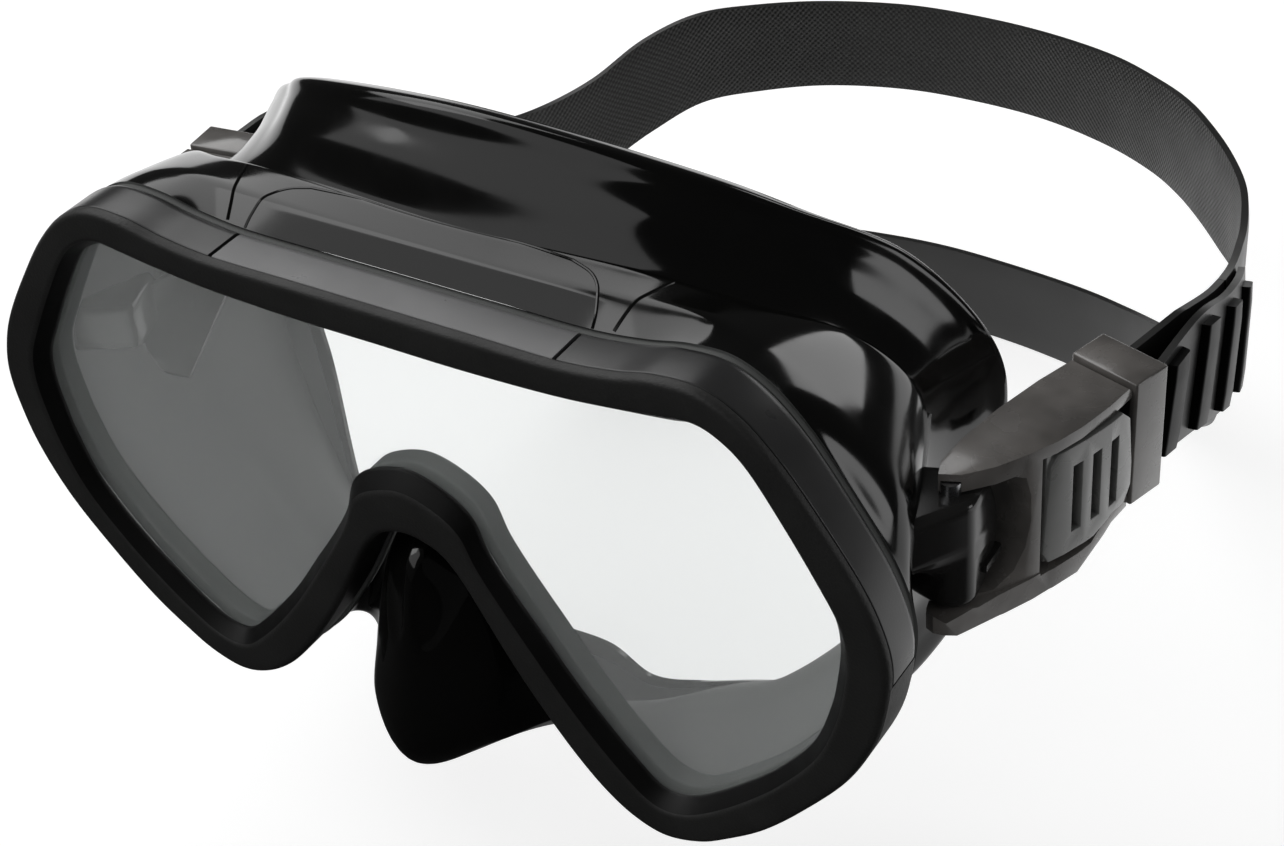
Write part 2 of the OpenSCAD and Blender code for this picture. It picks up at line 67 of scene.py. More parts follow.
# Skirt columns: ring place, then x, y, z of seven points from the ledge to the face edge
SKIRT = [
    (0, [(0, 13, 4), (0, 17, 6), (0, 18.5, 4.5), (0, 22, 11),
         (0, 25, 15), (0, 27, 18.5), (0, 30, 18)]),
    (2, [(30, 14, 4), (30.5, 20, 5), (30, 21.5, 3), (30.5, 26, 9),
         (31, 29.5, 12), (31.5, 32, 14), (31, 35, 13)]),
    (4, [(46.5, 16, 3.5), (47, 24, 1.5), (45, 26, -1), (43.5, 33, 3),
         (44.3, 38, 5), (45.2, 41, 6), (44, 44, 4.5)]),
    (6, [(60, 16, -1.5), (60, 31, -5), (56.5, 34, -8), (55.5, 41, -6.5),
         (57, 48, -4.6), (58.2, 51.8, -4.5), (56.2, 54.3, -6.5)]),
    (9, [(74, 18, -18), (68, 36, -18), (65, 39, -21), (65, 47, -20.5),
         (67.5, 54, -20.5), (69, 57.5, -20.5), (66, 59, -22)]),
    (11, [(75, 16, -34), (69, 30, -36), (67, 36, -37), (67, 45, -37),
          (69, 54, -37), (70.5, 58.5, -37), (67.5, 60, -38)]),
    (14, [(70.5, 16, -57), (65, 28, -56.5), (63, 34, -56), (65, 44, -57.5),
          (68, 52, -59), (69.5, 57, -60), (61, 58, -60)]),
    (17, [(51, 16, -77), (49, 26, -75), (48, 31, -74), (49.5, 39, -79),
          (52.5, 46, -86), (54.5, 51, -90.5), (52.5, 52, -89.5)]),
    (20, [(36, 15, -80.5), (35, 22, -80), (34.5, 27, -80), (35.5, 35, -84.5),
          (36.5, 42, -89.5), (37, 46, -92.5), (35, 46.5, -91)]),
    (22, [(25.5, 12, -74), (24, 15, -76), (24.5, 20, -81), (25.5, 27, -88.5),
          (26.5, 35, -91.5), (27, 40, -93), (25.5, 41, -90.5)]),
    (24, [(15.5, 9, -62.5), (14.5, 6, -70), (15.5, 9, -78), (17, 18, -83.5),
          (19, 28, -92.5), (19, 36, -95), (18, 37, -89)]),
    (26, [(8.5, 4, -51), (9.5, 0, -64), (10.5, -1.5, -76), (10.5, 10, -82.5),
          (12, 24, -92.5), (11.5, 34, -95.5), (11, 35.5, -83.5)]),
    (29, [(0, 0, -45), (0, -5, -62), (0, -8.5, -77.5),
          (0, 1, -86), (0, 20, -92), (0, 33, -95.5), (0, 35, -83)]),
]
# Strap stations, each side as it lies: x, y, top edge z, bottom edge z
RUN_R = [(89, 78, -21.5, -43), (89, 91, -26, -48.5), (88, 101, -29.5, -52.5)]
UPPER_R = [(88, 101, -29.5, -40.5), (86.3, 110, -33, -43.5), (84, 120, -36, -47.5), (80.8, 132, -39, -53),
           (76, 145, -40.5, -58), (69.5, 156, -41.5, -61.5), (62, 166, -42.5, -63), (54, 175.5, -44, -64.5),
           (45, 184, -46, -66), (32, 193, -48, -68), (16, 199, -49.5, -69), (0, 201, -50, -69.5)]
LOWER_R = [(88, 101, -42, -52.5), (84.5, 114, -48, -63), (80, 127, -59, -76), (75, 139, -70, -88.5),
           (69, 149, -78.5, -98), (62, 158.5, -85, -105), (54, 167, -89.5, -109.5), (45, 174, -93, -112.5),
           (33, 180, -95.5, -115), (17, 184, -97, -116), (0, 185, -97, -116)]
RUN_L = [(80.5, 78, -27, -47), (81, 91, -36, -57), (80.7, 101, -42.5, -65)]
UPPER_L = [(80.7, 101, -42.5, -53), (80, 111, -48, -60.5), (78.7, 121, -53, -67.5), (76.3, 132, -56.5, -73.5),
           (72.5, 144, -58, -77), (67, 155, -56, -76.5), (60.5, 165, -50.5, -72), (53, 174.5, -47.5, -68),
           (44, 184, -48, -68), (32, 193, -49, -68.5), (16, 199, -49.5, -69), (0, 201, -50, -69.5)]
LOWER_L = [(80.7, 101, -54.5, -65), (79, 112, -61.5, -76), (75, 124, -71, -88), (70, 135, -79, -97.5),
           (64, 145, -84.5, -104), (57, 154, -88.5, -108.5), (49, 162, -91, -111), (40, 170, -93, -113),
           (30, 177, -94.5, -114.5), (15, 183, -96.5, -116), (0, 185, -97, -116)]

# ---------------------------------------------------------------- materials


class Shader:
    """Short way to build a node tree."""

    def __init__(self, owner):
        owner.use_nodes = True
        self.tree = owner.node_tree

    def add(self, kind, **values):
        n = self.tree.nodes.new("ShaderNode" + kind)
        for k, v in values.items():
            if k in n.inputs:
                n.inputs[k].default_value = v
            else:
                setattr(n, k, v)
        return n

    def link(self, a, b):
        self.tree.links.new(a, b)

    def ramp(self, fac, stops):
        n = self.add("ValToRGB")
        els = n.color_ramp.elements
        while len(els) < len(stops):
            els.new(0.5)
        for e, (pos, col) in zip(els, stops):
            e.position = pos
            e.color = (*col, 1) if len(col) == 3 else col
        self.link(fac, n.inputs["Fac"])
        return n.outputs["Color"]

    def span(self, fac, lo, hi, a=0.0, b=1.0):
        n = self.add("MapRange")
        n.inputs["From Min"].default_value = a
        n.inputs["From Max"].default_value = b
        n.inputs["To Min"].default_value = lo
        n.inputs["To Max"].default_value = hi
        self.link(fac, n.inputs["Value"])
        return n.outputs["Result"]

    def math(self, operation, a, b=None):
        """Math node of one or two values, each a socket or a plain number."""
        n = self.add("Math", operation=operation)
        for value, socket in zip((a, b), n.inputs):
            if isinstance(value, bpy.types.NodeSocket):
                self.link(value, socket)
            elif value is not None:
                socket.default_value = value
        return n.outputs[0]

    def mix(self, fac, a, b):
        """Mix of shaders a and b, fac being b's share."""
        n = self.add("MixShader")
        if isinstance(fac, float):
            n.inputs[0].default_value = fac
        else:
            self.link(fac, n.inputs[0])
        self.link(a, n.inputs[1])
        self.link(b, n.inputs[2])
        return n.outputs[0]

    def seen(self, path):
        """1 for rays from the camera, straight or through the lens."""
        return self.math("MAXIMUM", path.outputs["Is Camera Ray"], path.outputs["Is Transmission Ray"])


class Nodes(Shader):
    """Node tree of a new material."""

    def __init__(self, name):
        self.mat = bpy.data.materials.new(name)
        super().__init__(self.mat)
        self.bsdf = self.tree.nodes["Principled BSDF"]
        self.coords = self.add("TexCoord").outputs["Object"]

    def noise(self, scale, detail=3.0, roughness=0.55):
        n = self.add("TexNoise", Scale=scale, Detail=detail, Roughness=roughness)
        self.link(self.coords, n.inputs["Vector"])
        return n.outputs["Fac"]

    def set(self, **values):
        """Values of the main shader, with _ for each space in an input's name."""
        for name, value in values.items():
            self.bsdf.inputs[name.replace("_", " ")].default_value = value

    def color(self, fac, stops):
        self.link(self.ramp(fac, stops), self.bsdf.inputs["Base Color"])

    def rough(self, fac, low, high, a=0.3, b=0.7):
        self.link(self.span(fac, low, high, a, b), self.bsdf.inputs["Roughness"])

    def bump(self, height, strength):
        n = self.add("Bump", Strength=strength, Distance=BUMP_DEPTH)
        self.link(height, n.inputs["Height"])
        self.link(n.outputs["Normal"], self.bsdf.inputs["Normal"])


BUMP_DEPTH = 0.0002  # metres


def plastic(name, color, rough, spec=0.5, grain=0.0, grain_size=0.0004, coat=0.0, vary=0.15, smudge=0.06):
    """Moulded plastic; grain_size is in metres, vary and smudge are shares of colour and roughness."""
    m = Nodes(name)
    m.set(Specular_IOR_Level=spec, Coat_Weight=coat, Coat_Roughness=0.08)
    dark = tuple(c * (1 - vary) for c in color)
    lite = tuple(c * (1 + vary) for c in color)
    m.color(m.noise(60), [(0.35, dark), (0.65, lite)])
    m.rough(m.noise(140, 4), rough - smudge, rough + smudge)
    if grain:
        m.bump(m.noise(1 / grain_size, 2), grain)
    return m.mat


bezel_mat = plastic("bezel_textured", (0.022, 0.022, 0.0215), 0.5, spec=0.45,
                    grain=0.35, grain_size=0.00045, vary=0.12, smudge=0.04)
black_mat = plastic("frame_black_plastic", (0.012, 0.012, 0.0125), 0.4, grain=0.15)
cover_grey = plastic("cover_satin_grey", (0.13, 0.13, 0.132), 0.3,
                     grain=0.05, grain_size=0.0003, vary=0.04, smudge=0.03)
cover_dark = plastic("cover_satin_charcoal", (0.026, 0.026, 0.0265), 0.3,
                     grain=0.05, grain_size=0.0003, vary=0.06, smudge=0.03)
lever_mat = plastic("lever_satin", (0.19, 0.192, 0.187), 0.28, spec=0.65, coat=0.4)
roller_mat = plastic("roller_acetal", (0.02, 0.02, 0.02), 0.35)
# dark nylon whose colour is raised and mottled brown: a painted sheen standing for the softbox's reflection
# on the buckle
buckle_sheen_mat = plastic("buckle_nylon_painted_sheen", (0.13, 0.122, 0.115), 0.25, spec=0.65,
                     grain=0.05, grain_size=0.0006, coat=0.45, vary=0.4, smudge=0.09)
# near-black and weakly reflecting: painted shade standing for the deep shadow in the bezel's inner bevel
bevel_shade_mat = plastic("bezel_bevel_painted_shade", (0.004, 0.004, 0.004), 0.5, spec=0.25)


def rubber(name, color, rough, spec, grain=0.0):
    """Node tree of a silicone or rubber."""
    m = Nodes(name)
    m.set(Specular_IOR_Level=spec)
    m.color(m.noise(45), [(0.3, tuple(c * 0.8 for c in color)), (0.7, color)])
    m.rough(m.noise(90, 5), rough - 0.04, rough + 0.05)
    if grain:
        m.bump(m.noise(1500, 2), grain)
    return m


RUBBER_GRAIN = 0.06
silicone = rubber("silicone_black", (0.0035, 0.0035, 0.0033), 0.1, 0.5).mat
lug_mat = rubber("silicone_lug", (0.02, 0.0195, 0.019), 0.16, 0.5).mat
frosted = rubber("silicone_frosted", (0.12, 0.124, 0.121), 0.6, 0.3).mat
strap_mat = rubber("strap_rubber", (0.018, 0.018, 0.0175), 0.38, 0.5, RUBBER_GRAIN).mat
rib_mat = rubber("strap_rib_rubber", (0.002, 0.002, 0.002), 0.4, 0.15, RUBBER_GRAIN).mat


def dotted():
    """Inner face of the upper band: small dots in staggered rows, from the strap's own UV in millimetres."""
    dots = 5.2  # radians of the pattern's waves to a millimetre
    m = rubber("strap_rubber_dotted", (0.02, 0.02, 0.0195), 0.45, 0.45, RUBBER_GRAIN)
    uv = m.add("SeparateXYZ")
    m.link(m.add("UVMap").outputs["UV"], uv.inputs["Vector"])
    waves = [m.math("SINE", m.math("MULTIPLY", uv.outputs[axis], dots)) for axis in "XY"]
    height = m.math("MULTIPLY", *waves)
    m.bump(height, 0.5)
    # colour follows the dots' height: painted shade in the hollows between the dots and a painted highlight
    # on their tops
    m.color(m.span(height, 0, 1, -1, 1), [(0.2, (0.008, 0.008, 0.008)), (0.8, (0.035, 0.035, 0.033))])
    return m.mat


dotted_mat = dotted()


def steel():
    m = Nodes("pin_steel")
    m.set(Metallic=1.0)
    m.color(m.noise(400), [(0.3, (0.5, 0.51, 0.53)), (0.7, (0.62, 0.63, 0.65))])
    m.rough(m.noise(900), 0.2, 0.32)
    return m.mat


steel_mat = steel()


def glass():
    """Tempered lens: clear glass that lamps shine through, with a faint haze on its faces."""
    haze_share = 0.055
    m = Nodes("lens_glass")
    m.set(Base_Color=(0.985, 1.0, 0.995, 1), Transmission_Weight=1.0, IOR=1.52)
    m.rough(m.noise(30), 0.0, 0.02, 0.4, 0.6)
    haze = m.add("BsdfDiffuse", Color=(0.9, 0.93, 0.92, 1))
    clear = m.add("BsdfTransparent", Color=(0.95, 0.96, 0.96, 1))
    film = m.mix(haze_share, m.bsdf.outputs[0], haze.outputs[0])
    path = m.add("LightPath")
    shown = m.mix(path.outputs["Is Shadow Ray"], film, clear.outputs[0])
    m.link(shown, m.tree.nodes["Material Output"].inputs["Surface"])
    return m.mat


lens_mat = glass()

# ---------------------------------------------------------------- mesh helpers


def row(points):
    """Drawing millimetres to the row frame in metres."""
    return (np.asarray(points, float) + np.array([0, -FACE_DEPTH, -FACE_Z])) * MM


def catmull(a, b, c, d, t):
    """Point at share t of the smooth curve from b to c."""
    return 0.5 * (2 * b + (c - a) * t + (2 * a - 5 * b + 4 * c - d) * t**2 + (3 * b - a - 3 * c + d) * t**3)


def resample(points, n):
    """Smooth curve through the points, n steps between each two."""
    p = np.asarray(points, float)
    e = np.vstack([2 * p[0] - p[1], p, 2 * p[-1] - p[-2]])
    out = []
    for i in range(len(p) - 1):
        for k in range(n):
            out.append(catmull(e[i], e[i + 1], e[i + 2], e[i + 3], k / n))
    out.append(p[-1])
    return np.array(out)


def make(name, verts, faces, mats, slots=None, uvs=None, sharp=40):
    """Mesh object with outward normals; slots gives each face's material, sharp the edge angle in degrees."""
    me = bpy.data.meshes.new(name)
    me.from_pydata([tuple(v) for v in verts], [], [tuple(int(i) for i in f) for f in faces])
    for m in mats if isinstance(mats, (list, tuple)) else [mats]:
        me.materials.append(m)
    if slots is not None:
        me.polygons.foreach_set("material_index", slots)
    if uvs is not None:
        layer = me.uv_layers.new(name="UVMap")
        idx = np.zeros(len(me.loops), int)
        me.loops.foreach_get("vertex_index", idx)
        layer.data.foreach_set("uv", np.asarray(uvs, float)[idx].ravel())
    me.validate()
    bm = bmesh.new()
    bm.from_mesh(me)
    bmesh.ops.recalc_face_normals(bm, faces=bm.faces)
    bm.to_mesh(me)
    bm.free()
    me.shade_smooth()
    me.set_sharp_from_angle(angle=math.radians(sharp))
    ob = bpy.data.objects.new(name, me)
    bpy.context.scene.collection.objects.link(ob)
    return ob


def quads(nu, nv, closed_u, closed_v, base=0):
    """Faces of a grid of nu rows of nv points, closed into a tube or not."""
    out = []
    for i in range(nu if closed_u else nu - 1):
        for j in range(nv if closed_v else nv - 1):
            a, b = i * nv + j, ((i + 1) % nu) * nv + j
            c, d = ((i + 1) % nu) * nv + (j + 1) % nv, i * nv + (j + 1) % nv
            out.append((a + base, b + base, c + base, d + base))
    return out


def caps(nu, nv, base=0):
    """The two end faces of a tube of nu rows of nv points."""
    return [tuple(base + j for j in range(nv)), tuple(base + (nu - 1) * nv + j for j in range(nv))[::-1]]


def rounded(points, radii, n=4):
    """Closed outline with each corner rounded by its radius."""
    p = [np.array(q, float) for q in points]
    out = []
    for i, (q, r) in enumerate(zip(p, radii)):
        a, b = p[i - 1], p[(i + 1) % len(p)]
        if r <= 0:
            out.append(q)
            continue
        s = q + (a - q) / np.linalg.norm(a - q) * r
        e = q + (b - q) / np.linalg.norm(b - q) * r
        for k in range(n + 1):
            t = k / n
            out.append((1 - t) ** 2 * s + 2 * t * (1 - t) * q + t * t * e)
    return np.array(out)


# ---------------------------------------------------------------- frame outline

RIM_HALF = np.array(RIM, float)
OUTLINE = np.vstack([RIM_HALF, RIM_HALF[HALF - 1 : 0 : -1] * np.array([-1, 1, -1, 1])])
BAND = 6.5  # mean width of the front ring, for rounding its section
COVER_IN = 5.27  # from the inner rim to the inside of the covers and the wall
DEPTH = 9  # how far back the covers and the wall reach
SPLIT, TEMPLE, SEAM = 2.0, 11.5, 0.03  # ring places where the covers meet and end, and half the seam


def rim(u):
    """Inner and outer outline points at ring places u."""
    u = np.atleast_1d(np.asarray(u, float))
    k = np.floor(u).astype(int)
    t = (u - k)[:, None]
    return catmull(*(OUTLINE[(k + i) % RING] for i in (-1, 0, 1, 2)), t)


def ring(u, f, y):
    """Points of the outline at places u, width share f, depth y."""
    p = rim(u)
    q = p[:, :2] + (p[:, 2:] - p[:, :2]) * np.asarray(f)
    return np.stack([q[:, 0], np.full(len(q), float(y)), q[:, 1]], 1)


def swept(name, section, us, closed, mat, slot_of=None):
    """Section swept round the frame at places us; its points are millimetres across and back."""
    g = np.stack([ring(us, a / BAND, y) for a, y in section], 1)
    nu, nv = g.shape[:2]
    faces = quads(nu, nv, closed, True)
    if not closed:
        faces += caps(nu, nv)
    slots = None
    if slot_of is not None:
        slots = [slot_of(section[k % nv], section[(k + 1) % nv]) for k in range(len(faces))]
    return make(name, row(g.reshape(-1, 3)), faces, mat, slots, sharp=50)


def join(name, obs):
    """One mesh object from several."""
    bm = bmesh.new()
    mats = []
    for o in obs:
        for m in o.data.materials:
            if m not in mats:
                mats.append(m)
    me = bpy.data.meshes.new(name)
    for m in mats:
        me.materials.append(m)
    for o in obs:
        shift = [mats.index(m) for m in o.data.materials]
        for p in o.data.polygons:
            p.material_index = shift[p.material_index]
        bm.from_mesh(o.data)
    bm.to_mesh(me)
    bm.free()
    ob = bpy.data.objects.new(name, me)
    bpy.context.scene.collection.objects.link(ob)
    for o in obs:
        bpy.data.objects.remove(o)
    return ob


FULL = np.arange(RING * 10) / 10
BEVEL = -0.3  # across: the bevel to the lens lies inwards of this; its faces get a near-black painted shade
front = rounded([(-2.47, 3.0), (-2.47, 2.4), (0, 0.0), (BAND, 0), (BAND, 1.5), (3.9, 1.5), (3.9, 3.0)],
                [0.1, 0.3, 0.7, 1.45, 0.15, 0.1, 0.1], 6)
ring_part = swept("bezel_ring", front, FULL, True, [bezel_mat, bevel_shade_mat],
                  lambda a, b: int(max(a[0], b[0]) < BEVEL))
wall = rounded([(COVER_IN, 1.0), (BAND, 1.0), (BAND, DEPTH), (COVER_IN, DEPTH)], [0.1, 0.02, 1.0, 0.2], 5)
wall_from = TEMPLE + 2 * SEAM
wall_part = swept("bezel_wall", wall, np.linspace(wall_from, RING - wall_from, 351), False, bezel_mat)
bezel = join("bezel_front", [ring_part, wall_part])
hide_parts("bezel")
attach(bezel, "mask")

cover_section = rounded([(COVER_IN, 1.62), (BAND, 1.62), (BAND, DEPTH), (COVER_IN, DEPTH)],
                        [0.05, 0.3, 1.5, 0.2], 5)
for name, node, u0, u1, mat, slot in (
    ("cover_brow", "brow_cover", SEAM - SPLIT, SPLIT - SEAM, cover_grey, "cover_grey"),
    ("cover_left", "side_cover_left", -TEMPLE, -SPLIT - SEAM, cover_dark, "cover_dark"),
    ("cover_right", "side_cover_right", SPLIT + SEAM, TEMPLE, cover_dark, "cover_dark"),
):
    o = swept(name, cover_section, np.linspace(u0, u1, 121), False, mat)
    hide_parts(node)
    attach(o, "mask")

# ---------------------------------------------------------------- skirt

WALL = 1.8
FLIP = np.array([-1, 1, 1])
KEYS = [c[0] for c in SKIRT]
COLS = [np.array(c[1], float) for c in SKIRT]
COLS = [COLS[1] * FLIP] + COLS + [COLS[-2] * FLIP]
LAST = 7  # the skirt's last station, at the face edge
BEAD_BACK = 10.3  # back of the bead, where the skirt starts


def skirt_rows(u):
    """The skirt's eight stations at ring place u."""
    m = u % RING
    side = 1 if m <= HALF else -1
    h = m if side > 0 else RING - m
    j = max(i for i in range(len(KEYS) - 1) if KEYS[i] <= h)
    t = (h - KEYS[j]) / (KEYS[j + 1] - KEYS[j])
    p = catmull(COLS[j], COLS[j + 1], COLS[j + 2], COLS[j + 3], t)
    if side < 0:
        p = p * FLIP
    # the skirt starts further out round the nose arch
    f = np.interp(abs(m - HALF), [7, 11], [1.1, 0.9])
    return np.vstack([ring(u, f, BEAD_BACK), p])


def crisp(s, v, w=0.16):
    """Straight runs between stations with each corner eased over w."""
    k = min(max(int(round(v)), 1), LAST - 1)
    if abs(v - k) < w:
        t = (v - k + w) / (2 * w)
        a, b = s[k] + (s[k - 1] - s[k]) * w, s[k] + (s[k + 1] - s[k]) * w
        return (1 - t) ** 2 * a + 2 * t * (1 - t) * s[k] + t * t * b
    k = min(int(v), LAST - 1)
    return s[k] + (s[k + 1] - s[k]) * (v - k)


def skirt_grid(us, vs):
    """Outer surface at ring places us and stations vs: smooth, but crisp at the brow's ledge."""
    g = np.zeros((len(us), len(vs), 3))
    for i, u in enumerate(us):
        s = skirt_rows(u)
        h = min(u % RING, RING - u % RING)
        brow = np.interp(h, [3.6, 6.5], [1, 0])
        for j, v in enumerate(vs):
            k = min(int(v), LAST - 1)
            g[i, j] = catmull(s[max(k - 1, 0)], s[k], s[k + 1], s[min(k + 2, LAST)], v - k)
            c = brow * np.interp(v, [2.9, 3.7], [1, 0])
            if c > 0:
                g[i, j] = g[i, j] * (1 - c) + crisp(s, v) * c
    return g


def skirt_normals(g):
    du = np.roll(g, -1, 0) - np.roll(g, 1, 0)
    dv = np.gradient(g, axis=1)
    n = np.cross(du, dv)
    return n / np.linalg.norm(n, axis=2, keepdims=True)


SU = np.arange(RING * 9) / 9
SV = np.concatenate([np.linspace(0, 3, 55)[:-1], np.linspace(3, LAST, 41)])
outer = skirt_grid(SU, SV)
normal = skirt_normals(outer)
# finger dimples either side of the nose pocket: middle, half sizes, lean and depth
DIMPLE_X, DIMPLE_Z, DIMPLE_WIDE, DIMPLE_TALL = 4.3, -46.5, 3.4, 12.5
DIMPLE_LEAN, DIMPLE_DEEP, DIMPLE_BACK = 1.45, 1.0, 6
for sx in (1, -1):
    along = (outer[..., 2] - DIMPLE_Z) / DIMPLE_TALL
    across = (outer[..., 0] * sx - (DIMPLE_X + DIMPLE_LEAN * along)) / DIMPLE_WIDE
    near = np.clip(1 - along**2 - across**2, 0, 1) * (outer[..., 1] < DIMPLE_BACK)
    outer = outer - normal * (DIMPLE_DEEP * near**0.6)[..., None]
taper = np.interp(SV, [0, 5, 6, LAST], [WALL, WALL, 1.4, 1.0])[None, :, None]
inner = outer - normal * taper
loft = np.concatenate([outer, inner[:, ::-1]], 1)
NV = loft.shape[1]
inside = [int(j >= len(SV) + 3) for i in range(len(SU)) for j in range(NV)]
shell = make("skirt_shell", row(loft.reshape(-1, 3)), quads(len(SU), NV, True, True),
             [silicone, frosted], inside, sharp=60)
bead = rounded([(1.69, 3.2), (3.57, 3.2), (3.57, 9.3), (5.4, 9.3),
                (5.4, 10.9), (-1.95, 10.9), (-1.95, 7.5), (1.69, 7.5)],
               [0.1, 0.1, 0.1, 0.2, 0.4, 0.5, 0.5, 0.1], 4)
bead_part = swept("skirt_bead", bead, FULL, True, frosted)
nose_lip = rounded([(4.6, 9.32), (6.9, 9.32), (6.9, 11.2), (4.6, 11.2)], [0.1, 0.3, 0.4, 0.1], 4)
nose_part = swept("skirt_nose_lip", nose_lip, np.linspace(HALF - 9.5, HALF + 9.5, 191), False, frosted)

# ---------------------------------------------------------------- buckle placement

# x, y, z of each buckle's pivot, and how far its rear end points outwards, in degrees
BUCKLE = {1: (78.5, 22.0, -19.0, 17.0), -1: (78.5, 22.0, -23.5, 7.0)}
STRAP_T = 1.6
GAP = 0.3
ROLLER_R = 1.7
WRAP_IN = ROLLER_R + GAP  # inside of the strap round the roller
WRAP_MID = WRAP_IN + STRAP_T / 2
ROLLER_X = -6.3 + GAP + WRAP_IN + STRAP_T
ROLLER_Y = 29.0
STRAP_TOP = -2.5
STRAP_LOW = STRAP_TOP - 17.0
GUIDE_END = 43.0  # just behind the strap guide


def buckle_matrix(side):
    """From the buckle's own millimetres to the row frame in metres."""
    x, y, z, a = BUCKLE[side]
    m = Matrix.Translation((x, y, z)) @ Matrix.Rotation(math.radians(-a), 4, "Z")
    if side < 0:
        m = Matrix.Scale(-1, 4, (1, 0, 0)) @ m
    m = Matrix.Translation((0, -FACE_DEPTH, -FACE_Z)) @ m
    return Matrix.Scale(MM, 4) @ m


def lug_mesh():
    """Soft barrel a buckle turns on, with the web that carries it, in buckle millimetres."""
    low, top, n, edge = -21.8, -3.3, 48, 1.4
    turn = np.linspace(0, math.pi / 2, 6)
    levels = np.concatenate([low + edge * (1 - np.cos(turn)), np.linspace(low + 2, top - 2, 16),
                             top - edge * (1 - np.cos(turn[::-1]))])
    verts = []
    for z in levels:
        end = min(z - low, top - z, edge)
        ease = edge - math.sqrt(max(edge**2 - (edge - end) ** 2, 0))
        web = float(np.interp(z, [-16, -11], [0, 1]))
        reach = 5.4 * math.sqrt(max(1 - ((z + 12.3) / 10.5) ** 2, 0.04))
        # discs of x, y and radius, whose hull is the section at this height
        discs = [(-2.5, 3, 4), (-3, 3 + reach, 3.1), (-6 - 3 * web, 3, 2),
                 (-4 + 0.5 * web, 1 - 9 * web, 1.2 + 0.8 * web), (-6 - 5 * web, 1 - 6 * web, 2)]
        for k in range(n):
            a = 2 * math.pi * k / n
            d = np.array([math.cos(a), math.sin(a)])
            c = max(discs, key=lambda q: q[0] * d[0] + q[1] * d[1] + q[2])
            p = np.array(c[:2]) + d * (c[2] - ease)
            verts.append((p[0], p[1], z))
    m = len(levels)
    return verts, quads(m, n, False, True) + caps(m, n)


def placed(name, verts, faces, side, mat, sharp=35):
    """Mesh drawn in buckle millimetres, put at its own side's buckle."""
    o = make(name, list(verts), faces, mat, sharp=sharp)
    o.data.transform(buckle_matrix(side))
    if side < 0:
        o.data.flip_normals()
    return o


def slab_of(points, normal, thick):
    """Thick plate with eased edges from an outline of points."""
    p = np.array(points, float)
    c = p.mean(0)
    n = np.array(normal, float)
    n /= np.linalg.norm(n)
    rows = [c + (p - c) * k + n * thick * h for k, h in ((0.93, -0.5), (1, -0.28), (1, 0.28), (0.93, 0.5))]
    return np.vstack(rows), quads(4, len(p), False, True) + caps(4, len(p))


def line_on(name, path, tree, radius, mat):
    """Fine raised line along a path of x, y, laid on the skirt from above."""
    pts = []
    for x, y in path:
        hit = tree.ray_cast(Vector((x, y, 30)), Vector((0, 0, -1)))[0]
        if hit is not None:
            pts.append(np.array(hit))
    pts = np.array(pts)
    d = np.gradient(pts, axis=0)
    d /= np.linalg.norm(d, axis=1, keepdims=True)
    across = np.cross(d, [0, 0, 1])
    across /= np.linalg.norm(across, axis=1, keepdims=True)
    up = np.cross(across, d)
    n, sunk = 8, 0.45
    verts = []
    for p, a, u in zip(pts, across, up):
        for k in range(n):
            t = 2 * math.pi * k / n
            verts.append(p + (a * math.cos(t) + u * (math.sin(t) - sunk)) * radius)
    return make(name, row(verts), quads(len(pts), n, False, True), mat)


tree = BVHTree.FromPolygons([tuple(v) for v in outer.reshape(-1, 3)], quads(len(SU), len(SV), True, False))
# panel outline on the brow ledge: x and y of its rounded end, then its straight back edge
corner = [(30.6, 9.9), (30.2, 12.2), (28.9, 14.9), (26.6, 16.9), (23, 17.9)]
panel = resample([(-x, y) for x, y in corner], 10).tolist()
panel += [(x, 17.9) for x in np.linspace(-22, 22, 60)]
panel += resample(corner[::-1], 10).tolist()
soft = [shell, bead_part, nose_part, line_on("panel_line", panel, tree, 0.3, silicone)]
for side in (1, -1):
    crease = resample([(side * x, y) for x, y in ((33.7, 9.9), (34.8, 13.4), (36.4, 17.5), (37.6, 20.6))], 10)
    soft.append(line_on("crease", crease, tree, 0.35, silicone))
    soft.append(placed("lug", *lug_mesh(), side, lug_mat))
    bar = slab_of([(0.85, 5.8, -17.7), (-0.35, 10.4, -16.8), (-0.35, 10.4, -15.6), (0.85, 5.8, -16.5)],
                  (1, 0.26, 0), 1.3)
    soft.append(placed("lug_bar", *bar, side, lug_mat))
    fin = slab_of([(-20.3, 17.8, -4.8), (-15.5, 9, -3.4), (-9, 0.6, -5), (-8, -0.2, -16),
                   (-8.6, 0.4, -21), (-13.5, 4.2, -24)], (0.62, 0.78, 0), 1.6)
    soft.append(placed("lug_web", *fin, side, lug_mat, 30))
skirt = join("skirt_soft", soft)
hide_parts("skirt")
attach(skirt, "mask")


def in_buckle(side, x, y):
    """Strap station at x, y of the buckle: x, y, top edge z, bottom edge z."""
    bx, by, bz, a = BUCKLE[side]
    c, s = math.cos(math.radians(a)), math.sin(math.radians(a))
    return (bx + x * c + y * s, by - x * s + y * c, bz + STRAP_TOP, bz + STRAP_LOW)


# ---------------------------------------------------------------- strap


def along(path):
    """Points of a path, outward directions and distance run at each."""
    p = np.asarray(path, float)
    d = np.gradient(p[:, :2], axis=0)
    d /= np.linalg.norm(d, axis=1, keepdims=True)
    run = np.concatenate([[0], np.cumsum(np.linalg.norm(np.diff(p[:, :2], axis=0), axis=1))])
    return p, np.stack([d[:, 1], -d[:, 0]], 1), run


SOFT_EDGE = 0.5  # the strap narrows over this much at its edges
EDGE_SHARE = 0.72  # to this share of its thickness


